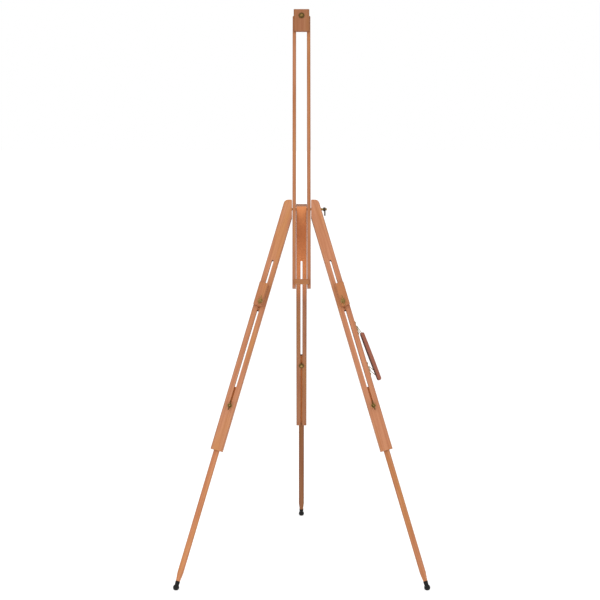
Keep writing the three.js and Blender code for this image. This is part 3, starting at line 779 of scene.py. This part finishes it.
def grip():
    """The leather grip: two layers closed over a core, sewn along the edge that faces the leg."""
    bm = bmesh.new()
    around, steps, power = 56, 96, 2 / 3.4
    rings = []
    for i in range(steps + 1):
        share = i / steps
        # The rings stand closer together towards the rounded ends.
        run = GRIP_LENGTH * (share - 0.42 * math.sin(2 * math.pi * share) / (2 * math.pi))
        thick, wide = grip_size(run)
        ring = []
        for k in range(around):
            angle = 2 * math.pi * k / around
            c, s = math.cos(angle), math.sin(angle)
            out = math.copysign(abs(c) ** power, c)
            side = math.copysign(abs(s) ** power, s)
            groove = 1 - 0.07 * math.exp(-(((out - SEAM) / 0.13) ** 2))
            ring.append(bm.verts.new(grip_point(run, out * thick, side * wide * groove)))
        rings.append(ring)
    for low, high in zip(rings, rings[1:]):
        for k in range(around):
            m = (k + 1) % around
            bm.faces.new((low[k], low[m], high[m], high[k]))
    for ring in (rings[0], rings[-1]):
        bm.faces.new(ring)
    mesh = finish_mesh(bm, "handle_grip_leather", FRAMES["right"], 1.6)
    obj = piece("handle_grip_leather", "handle", mesh, LEATHER, ["handle_grip"])
    mesh.materials.append(LEATHER_EDGE)
    outward = (FRAMES["right"].to_3x3() @ Vector((OUTWARD.x, 0.0, OUTWARD.y))).normalized()
    start = FRAMES["right"] @ Vector(grip_point(0.0, 0.0, 0.0))
    edge = SEAM * GRIP_THICK * MM * 1.05
    for face in mesh.polygons:
        if (face.center - start).dot(outward) < edge:
            face.material_index = 1
    return obj


def stitching():
    """Saddle stitches down both faces of the seam."""
    bm = bmesh.new()
    radius, sides = 0.42, 8
    count = int((GRIP_LENGTH - 16) / STITCH_PITCH)
    for face in (-1, 1):
        for n in range(count):
            run = 8.0 + STITCH_PITCH * n
            rings = []
            for k in range(6):
                share = k / 5
                here = run + STITCH_LENGTH * (share - 0.5)
                thick, wide = grip_size(here)
                swell = math.sin(math.pi * (0.12 + 0.76 * share))
                level = face * (wide * 0.93 + 0.3 * swell)
                slant = SEAM * thick + 0.35 * (share - 0.5)
                ring = []
                for j in range(sides):
                    angle = 2 * math.pi * j / sides
                    out = slant + radius * swell * math.cos(angle)
                    ring.append(bm.verts.new(grip_point(here, out, level + radius * swell * math.sin(angle))))
                rings.append(ring)
            for low, high in zip(rings, rings[1:]):
                for j in range(sides):
                    m = (j + 1) % sides
                    bm.faces.new((low[j], low[m], high[m], high[j]))
            bm.faces.new(rings[0])
            bm.faces.new(rings[-1])
    mesh = finish_mesh(bm, "handle_stitching", FRAMES["right"], 1.2)
    return piece("handle_stitching", "handle", mesh, THREAD)


grip()
stitching()

# ---------------------------------------------------------------- finishes of the CAD solids
WOODEN = {  # node: frame, tone, grain axis, middle and half width of the painted edge shade, redder colour (redder wood where it fills the piece, painted bounce light where it comes in at a height)
    "mast_rail_left": ("front", 0.7, 2, (-23.75, 5.75), None),
    "mast_rail_right": ("front", 0.69, 2, (23.75, 5.75), None),
    "mast_cross_bar": ("front", 0.6, 0, None, None),
    "clamp_front_jaw": ("front", 0.52, 2, (0.0, 26.0), None),
    "clamp_back_jaw": ("front", 0.66, 2, (0.0, 26.0), None),
    "rear_leg_outer_board": ("rear", 0.66, 2, (0.0, 17.5), None),
    # The upper part of this board is painted redder: painted warm bounce light from the rails.
    "rear_leg_inner_board": ("rear", 0.56, 2, (0.0, 17.5), (0.65, 0.67, -0.32, -0.2)),
    # The rear rod's low tone is painted shade: it is darker than the other rods to stand in for the shade it
    # is in.
    "rear_rod": ("rear", 0.41, 2, (0.0, 9.0), None),
    "left_leg_front_board": ("left", 0.79, 2, (0.0, 19.25), None),
    "left_leg_back_board": ("left", 0.75, 2, (0.0, 19.25), None),
    "left_rod": ("left", 0.86, 2, (0.0, 9.0), None),
    "left_shelf_block": ("left", 0.62, 2, (-5.0, 14.0), (0.2, 0.58, *ALL_OVER)),
    "right_leg_front_board": ("right", 0.79, 2, (0.0, 19.25), None),
    "right_leg_back_board": ("right", 0.75, 2, (0.0, 19.25), None),
    "right_rod": ("right", 0.77, 2, (0.0, 9.0), None),
    "right_shelf_block": ("right", 0.6, 2, (5.0, 14.0), (0.24, 0.57, *ALL_OVER)),
}
BRASS_NODES = ("left_slide_bush", "right_slide_bush", "handle_plate_upper", "handle_plate_lower")


def soften(obj, width):
    """Joins flat facets and rounds the arrises of a CAD solid, by modifiers only."""
    weld = obj.modifiers.new("weld", "WELD")
    weld.merge_threshold = 0.00001
    flat = obj.modifiers.new("flat", "DECIMATE")
    flat.decimate_type = "DISSOLVE"
    flat.angle_limit = math.radians(1.0)
    arris = obj.modifiers.new("arris", "BEVEL")
    arris.width = width
    arris.segments = 2
    arris.limit_method = "ANGLE"
    arris.angle_limit = math.radians(38)
    arris.harden_normals = False


SLEEVE_END = {"left": 0.808, "right": 0.808, "rear": 0.797}  # from the cross bolt, in metres
WOOD_ARRIS = 0.0007
METAL_ARRIS = 0.0003


def end_grain(node):
    """How far a piece's end grain has darkened."""
    if node.startswith("clamp_"):
        return 0.25
    return 0.5 if node.endswith("_block") else 1.0


for number, (node, (key, tone, grain, arris, redder_wood_and_bounce)) in enumerate(WOODEN.items(), 1):
    if node.endswith("_rod"):  # the part inside the sleeve is painted redder: painted warm bounce light where it shows in the shaded slot
        mouth = -SLEEVE_END[key] * FRAMES[key].col[2].to_3d().normalized().z
        redder_wood_and_bounce = (0.92, 0.45, mouth, mouth + 0.02)
    solid = nodes[node]
    solid.data.materials.clear()
    gloss = RUBBED if key == "front" or node.endswith("_rod") else OILED
    material = wood(f"beech_{node}", FRAMES[key], number, tone, grain, arris, redder_wood_and_bounce, gloss, end_grain(node))
    solid.data.materials.append(material)
    soften(solid, WOOD_ARRIS)
for node in BRASS_NODES:
    nodes[node].data.materials.clear()
    nodes[node].data.materials.append(BRASS)
    soften(nodes[node], METAL_ARRIS)

# ---------------------------------------------------------------- studio
CAMERA_SIDE = -0.005
CAMERA_BACK = 3.890
CAMERA_HEIGHT = 1.454
CAMERA_DIP = 8.98  # degrees below the horizon
camera_data = bpy.data.cameras.new("camera")
camera_data.lens = 72.0
camera_data.sensor_width = 36.0
camera_data.clip_end = 100.0
camera = bpy.data.objects.new("camera", camera_data)
camera.location = (CAMERA_SIDE, bolt_place.y - CAMERA_BACK, CAMERA_HEIGHT)
camera.rotation_euler = (math.radians(90.0 - CAMERA_DIP), 0.0, 0.0)
bpy.context.scene.collection.objects.link(camera)
bpy.context.scene.camera = camera

FLOOR_GLOW = 0.62  # a lit white sweep, so that floor and backdrop meet without a line
FLOOR_HALF = 40.0
FLOOR_DROP = 0.0002
floor_material = Graph("floor").finish({
    "Base Color": rgb(0.5, 0.5, 0.5),
    "Roughness": 0.95,
    "Specular IOR Level": 0.0,
    "Emission Color": rgb(1.0, 1.0, 1.0),
    "Emission Strength": FLOOR_GLOW,
})
bm = bmesh.new()
bmesh.ops.create_grid(bm, x_segments=1, y_segments=1, size=FLOOR_HALF)
floor_mesh = bpy.data.meshes.new("floor")
bm.to_mesh(floor_mesh)
bm.free()
floor_mesh.materials.append(floor_material)
floor = bpy.data.objects.new("floor", floor_mesh)
floor.location.z = -FLOOR_DROP
bpy.context.scene.collection.objects.link(floor)

world = bpy.data.worlds.new("studio")
world.use_nodes = True
world.node_tree.nodes["Background"].inputs["Color"].default_value = rgb(1.0, 1.0, 1.0)
world.node_tree.nodes["Background"].inputs["Strength"].default_value = 1.0
bpy.context.scene.world = world


def lamp(name, place, target, size, power):
    data = bpy.data.lights.new(name, "AREA")
    data.shape = "SQUARE"
    data.size = size
    data.energy = power
    obj = bpy.data.objects.new(name, data)
    obj.location = place
    obj.rotation_euler = (Vector(target) - Vector(place)).to_track_quat("-Z", "Y").to_euler()
    bpy.context.scene.collection.objects.link(obj)


lamp("key", (-2.2, -3.2, 3.4), (0.0, 0.0, 0.9), 2.2, 46.0)
lamp("fill", (2.8, -2.6, 2.2), (0.0, 0.0, 0.9), 2.6, 16.0)
bpy.context.scene.view_settings.view_transform = "Standard"
bpy.context.scene.view_settings.look = "None"
